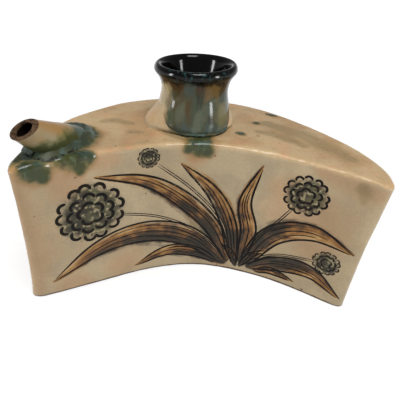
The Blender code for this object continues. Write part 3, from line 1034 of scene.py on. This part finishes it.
bm, pit_shade_layer, spots = clay_ring(collar_turns, collar_steps + closing_steps)
for vert, turn, number in spots:
    facing = pointing(turn)
    left = max(0, -facing.x)
    smear = ramp(facing.dot(smear_heading) + left_reach * left, -0.5, 0.1)
    rough = noise.noise(facing * 3.1) * 0.9 + noise.noise(facing * 7) * 0.5
    width = bead_width + (smear_width + left_width * left) * smear + rough * (1 - 0.8 * smear)
    top_mm = bead_rise + smear_rise * smear + 0.7 * rough * (1 - smear)
    share = min(number / collar_steps, 1)
    quarter = share * math.pi / 2
    bead = Vector((math.cos(quarter), math.sin(quarter)))
    fillet = Vector(((1 - share) ** fillet_bend, share ** fillet_bend))
    mixed = bead.lerp(fillet, min(1, 0.1 + 1.4 * smear))
    up_mm = top_mm * mixed.y
    radius_mm = neck_radius(up_mm) - collar_overlap + width * mixed.x
    if number > collar_steps:
        # The last rings go down inside the neck and back under the foot to close the coil
        top_radius, foot_radius = neck_radius(top_mm) - collar_overlap, neck_radius(0) + width
        closing = [(top_radius - closing_inset, top_mm), (closing_radius, -closing_depth),
                   (0.5 * (closing_radius + foot_radius), -closing_depth), (foot_radius - collar_overlap, 0)]
        radius_mm, up_mm = closing[number - collar_steps - 1]
    grit = 0.22 * noise.noise(Vector((radius_mm * facing.x, radius_mm * facing.y, up_mm)) / 2.2) * (1 - smear)
    lift = grit if 0 < number <= collar_steps else 0
    # Small pits in the front of the bead, painted near black as the shade inside them
    pit_shade_spots = ramp(noise.noise(facing * 11), -0.15, 0.15)
    vert[pit_shade_layer] = pit_shade_spots * (0 < number < pit_shade_rings) * ramp(facing.dot(run_heading), 0.7, 0.9)
    spot = neck_axis + facing * (radius_mm + lift) * mm + Vector((0, 0, body_height + 5 * mm))
    ground = body_surface.ray_cast(spot, Vector((0, 0, -1)))[0].z
    sunk = (ground - body_height) * (1 - ramp(up_mm, 0, 4))
    vert.co = Vector((spot.x, spot.y, body_height + sunk + (up_mm + lift - 0.12) * mm))
bmesh.ops.remove_doubles(bm, verts=bm.verts, dist=0.004 * mm)
bmesh.ops.recalc_face_normals(bm, faces=bm.faces)
collar_mesh = mesh_from(bm, "neck_collar_clay")

pooled_glaze, tree, socket, place = new_glaze(
    "pooled_copper_glaze", 0.03 * mm, 360, 0.08,
    Specular_IOR_Level=0.14, Coat_Weight=0.02, Coat_Roughness=0.05, Roughness=0.42)
colour = lay(clouds(place, 170, 4, low=0.38, high=0.66), (52, 60, 48), (76, 92, 84))
colour = lay(clouds(place, 95, 3, low=0.46, high=0.68), colour, (74, 72, 44))
colour = lay(clouds(place, 330, 2, low=0.62, high=0.7) * 0.5, colour, (60, 44, 32))
smeared = use_group(cream_to_peach, Vector=place, Up=facing_up(tree), Flush=0)
colour = lay(read_mark(tree, "smear"), colour, smeared)
# The pits are painted near black: painted shade inside the gaps of the pooled glaze
plug(lay(read_mark(tree, "pit_shade"), colour, (16, 12, 10)), socket["Base Color"])

places = read_places(collar_mesh)
off_axis = places - np.array([*neck_axis.xy, 0])
facing_back = off_axis @ np.array(smear_heading) + left_reach * np.maximum(0, -off_axis[:, 0])
facing_back = facing_back / np.linalg.norm(off_axis[:, :2], axis=1)
write_mark(collar_mesh, "smear", ramp(facing_back + uneven(places, (0.2, 6, 4.4)), -0.6, -0.25))
write_places(collar_mesh, lean_over(places))
neck_collar = show("neck_collar_bead", collar_mesh, pooled_glaze)
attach(neck_collar, "root")
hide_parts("neck_collar")

# Spout
# A short tube is rolled round a stick, tapered, leant out over the left horn and cut off nearly level,
# with its hole a little off centre. The cut and the clay just inside it are left bare, so the iron in
# them shows brown.
spout_heading = math.radians(244)
spout_rise = math.radians(33)
spout_length = 29.2
# The outside and the rim: radius and place along the tube in millimetres
spout_profile = [(11.5, 0), (11.0, 3), (10.4, 8), (9.6, 14), (8.5, 20), (7.3, 26), (6.6, 30), (6.45, 31.9)]
spout_rim = [(6.35, 32.25), (6.1, 32.45), (5.7, 32.55), (5.0, 32.5), (4.6, 32.4), (4.35, 32.15)]
spout_bore = 4.2
spout_buried = 3
spout_turns = 120
cut_heading = math.radians(238)
cut_rise = math.radians(69)
bare_from = 0.93          # the bore is bare from this share of the tube's length to the cut
hole_offset = Vector((-0.75, -0.2, 0.1))
hole_edge, cut_edge = 4.4, 5.9
foot_lift = Vector((0, 0, 1.2))
lift_lost_at_tip = 0.55

spout_axis = pointing(spout_heading, spout_rise)
lay_over = spout_axis.to_track_quat("Z", "Y").to_matrix()
cut_normal = lay_over.transposed() @ pointing(cut_heading, cut_rise)
slab_normal = lay_over.transposed() @ Vector((0, 0, 1))

bm = bmesh.new()
marks = {name: bm.verts.layers.float.new(name) for name in ("along", "cut", "bore")}
outer = [tuple(point) for point in smooth_path(spout_profile)]
full_length = spout_rim[2][1]
bore = [(spout_bore, full_length * share) for share in np.linspace(0.97, 0, 14)]
ring = []
for kind, line in (("outer", outer), ("cut", spout_rim), ("bore", bore)):
    for radius, up_mm in line:
        vert = bm.verts.new((radius, 0, up_mm / full_length))
        vert[marks["along"]] = up_mm / full_length
        vert[marks["cut"]] = float(kind == "cut" or (kind == "bore" and up_mm > bare_from * full_length))
        vert[marks["bore"]] = float(kind == "bore")
        ring.append(vert)
turn_round(bm, ring, (0, 0, 0), spout_turns)
for vert in bm.verts:
    # Each line along the tube runs from the slab to the cut
    x, y, share = vert.co
    from_slab = -(spout_buried + x * slab_normal.x + y * slab_normal.y) / slab_normal.z
    to_cut = spout_length - (x * cut_normal.x + y * cut_normal.y) / cut_normal.z
    along = from_slab + share * (to_cut - from_slab)
    off_centre = hole_offset * ramp(-math.hypot(x, y), -cut_edge, -hole_edge) * max(0, share)
    lift = foot_lift * (1 - lift_lost_at_tip * share)
    vert.co = spout_foot + (lay_over @ Vector((x, y, along)) + lift + off_centre) * mm
bmesh.ops.recalc_face_normals(bm, faces=bm.faces)
spout_mesh = mesh_from(bm, "spout_clay")
places = read_places(spout_mesh)
off_line = np.linalg.norm(np.cross(places - np.array(spout_foot), np.array(spout_axis)), axis=1)
pressed = uneven(places, (0.18, 12, 2.2), (0.08, 5, 6.1)) * ramp(off_line, 5 * mm, 7 * mm)
write_places(spout_mesh, places + read_normals(spout_mesh) * (pressed * mm)[:, None])

spout_glaze, tree, socket, place = new_glaze(
    "cream_and_copper_glaze", 0.02 * mm, 450, 0.1,
    Specular_IOR_Level=0.08, Coat_Weight=0.05, Coat_Roughness=0.06)
along = read_mark(tree, "along")
mottle = grain(place, 140, 4, 0.6)
looks_up = upward(tree)
colour = lay(clouds(place, 70, 3, low=0.38, high=0.62), (144, 133, 106), (152, 126, 86))
colour = lay(rise(looks_up, 0.1, 0.75) * 0.9, colour, (152, 116, 70))
copper_pull = 0.4 - along * 1.55 - looks_up * 0.22 + mottle * 0.75
colour = lay(rise(copper_pull, -0.36, -0.08) * 0.8, colour, (98, 98, 62))
colour = lay(rise(copper_pull, -0.16, 0.1), colour, (60, 64, 36))
colour = lay(rise(mottle * 0.7 - along, 0.02, 0.16) * 0.85, colour, (66, 84, 76))
bare = ragged(place, read_mark(tree, "cut"), level=0.4, softness=0.2, scale=400, tear=0.4)
colour = lay(bare, colour, lay(clouds(place, 500), (60, 45, 32), (92, 71, 52)))
unlit = read_mark(tree, "bore") * (1 - bare)
plug(lay(unlit, colour, (22, 16, 12)), socket["Base Color"])
plug(bare * 0.5 + 0.3, socket["Roughness"])

spout = show("pouring_spout", spout_mesh, spout_glaze)
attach(spout, "root")
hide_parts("spout")

# Spout collar
# A pad of soft clay is pressed round the spout's foot and left rough, with a tongue on one side and
# pinches on another. The copper glaze fills it, and leaves bubbled gaps where it didn't close, which
# are painted near black as the shade inside them.
pad_turns = 180
pad_rings = 22
closing_rings = 2
pad_ledge = 4.6
pad_inner_share = 0.62
pad_height = 3.2
pad_sunk = 0.4
pad_depth = 1.2
tongue = 2.6
tongue_heading = math.radians(-140)
pinch_heading = math.radians(20)
foot_short = 11.0
foot_long = foot_short / math.sin(spout_rise)

bm, pit_shade_layer, spots = clay_ring(pad_turns, pad_rings + closing_rings)
for vert, turn, number in spots:
    out = pointing(turn)
    ragged_mm = 1.3 * noise.noise(out * 1.7 + Vector((5, 0, 0))) + 0.3 * noise.noise(out * 4)
    ragged_mm += tongue * max(0, out.dot(pointing(tongue_heading))) ** 3
    ledge = pad_ledge + ragged_mm
    edge = Vector(((foot_long + ledge) * out.x, (foot_short + ledge) * out.y, 0))
    inner = Vector((foot_long * pad_inner_share * out.x, foot_short * pad_inner_share * out.y, 0))
    share = min(number / pad_rings, 1) if number < pad_rings + closing_rings else 0
    flat = edge.lerp(inner, share)
    flat.rotate(Matrix.Rotation(spout_heading, 3, "Z"))
    roll = math.sin(min(1, share / 0.5) * math.pi / 2) ** 1.2
    pinched = ramp(out.dot(pointing(pinch_heading) - pointing(spout_heading)), 0.6, 1.5)
    fold = 0.34 * noise.noise(Vector((flat.x, flat.y, 9)) / 2.6)
    fold += (0.15 + 0.8 * pinched) * noise.noise(Vector((flat.x / 6, flat.y / 6, turn * 2.6)))
    up_mm = -pad_depth
    if number <= pad_rings:
        up_mm = pad_height * roll + fold * ramp(share, 0.04, 0.3) - pad_sunk
    # Pits along the front of the pad, painted near black as shade
    pit_shade = ramp(noise.noise(Vector((flat.x / 1.6, flat.y / 1.6, 1))), -0.3, 0.1)
    vert[pit_shade_layer] = pit_shade * (0.02 < share < 0.15) * ramp(-flat.y, 7, 10)
    vert.co = spout_foot + (flat + Vector((0, 0, up_mm))) * mm
bmesh.ops.remove_doubles(bm, verts=bm.verts, dist=0.004 * mm)
bmesh.ops.bridge_loops(bm, edges=[edge for edge in bm.edges if edge.is_boundary])
bmesh.ops.recalc_face_normals(bm, faces=bm.faces)
pad_mesh = mesh_from(bm, "spout_collar_clay")
write_mark(pad_mesh, "smear", np.zeros(len(pad_mesh.vertices)))
spout_collar = show("spout_collar_pad", pad_mesh, pooled_glaze)
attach(spout_collar, "root")
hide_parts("spout_collar")

# Floor and light
# A plain pale floor carries the soft shadow. Two tall soft lamps stand in front, to the left and to
# the right, and a wide one hangs above.
floor_reach = 6
floor_grey = 0.42
floor_glow = 0.62


def ray_sees_background(tree):
    """1 for a ray of the camera, a gloss or a glass, and 0 for one that only carries light."""
    path = add_node(tree, "LightPath")
    seen = calc("MAXIMUM", Amount(path, "Is Camera Ray"), Amount(path, "Is Transmission Ray"))
    return calc("MAXIMUM", seen, Amount(path, "Is Glossy Ray"))


bm = bmesh.new()
bmesh.ops.create_grid(bm, x_segments=2, y_segments=2, size=floor_reach)
floor_paint = bpy.data.materials.new("floor_paint")
floor_paint.use_nodes = True
tree = floor_paint.node_tree
socket = tree.nodes["Principled BSDF"].inputs
plug((floor_grey, floor_grey, floor_grey, 1), socket["Base Color"])
plug(0.9, socket["Roughness"])
plug(0, socket["Specular IOR Level"])
plug((1, 1, 1, 1), socket["Emission Color"])
place = Amount(add_node(tree, "TexCoord"), "Object")
from_middle = Amount(add_node(tree, "VectorMath", {0: place}, operation="LENGTH"), "Value")
glow = rise(from_middle, 0.15, 0.9) * (1 - floor_glow) + floor_glow
plug(glow * ray_sees_background(tree), socket["Emission Strength"])
floor = show("floor", mesh_from(bm, "floor"), floor_paint)

lamp_target = Vector((0, -20 * mm, 70 * mm))


def add_lamp(name, azimuth, elevation, distance, wide, tall, power):
    """A soft lamp; azimuth 0 is in front, and it grows towards the right."""
    light = bpy.data.lights.new(name, "AREA")
    light.shape = "RECTANGLE"
    light.size = wide
    light.size_y = tall
    light.energy = power
    lamp = bpy.data.objects.new(name, light)
    turn, tilt = math.radians(azimuth), math.radians(elevation)
    away = Vector((math.sin(turn) * math.cos(tilt), -math.cos(turn) * math.cos(tilt), math.sin(tilt)))
    lamp.location = lamp_target + away * distance
    lamp.rotation_euler = away.to_track_quat("Z", "Y").to_euler()
    stage.collection.objects.link(lamp)


add_lamp("left_lamp", -73, 12, 1.1, 0.15, 0.5, 7.2)
add_lamp("right_lamp", 55, 12, 1.1, 0.15, 0.5, 6.3)
add_lamp("top_lamp", 12, 70, 1.3, 0.5, 0.5, 10.5)

# The room is dim overhead and pale towards the horizon, where a camera, a gloss or a glass sees it
room_light = 0.25
horizon_top = 0.28
world = bpy.data.worlds.new("room")
world.use_nodes = True
tree = world.node_tree
backdrop = tree.nodes["Background"]
seen = ray_sees_background(tree)
skyward = split(Amount(add_node(tree, "TexCoord"), "Generated"))[2]
pale = 1 - rise(skyward, 0.05, horizon_top)
plug(seen * pale * (1 - room_light) + room_light, backdrop.inputs["Strength"])
backdrop.inputs["Color"].default_value = (1, 1, 1, 1)
stage.world = world
stage.view_settings.view_transform = "Standard"
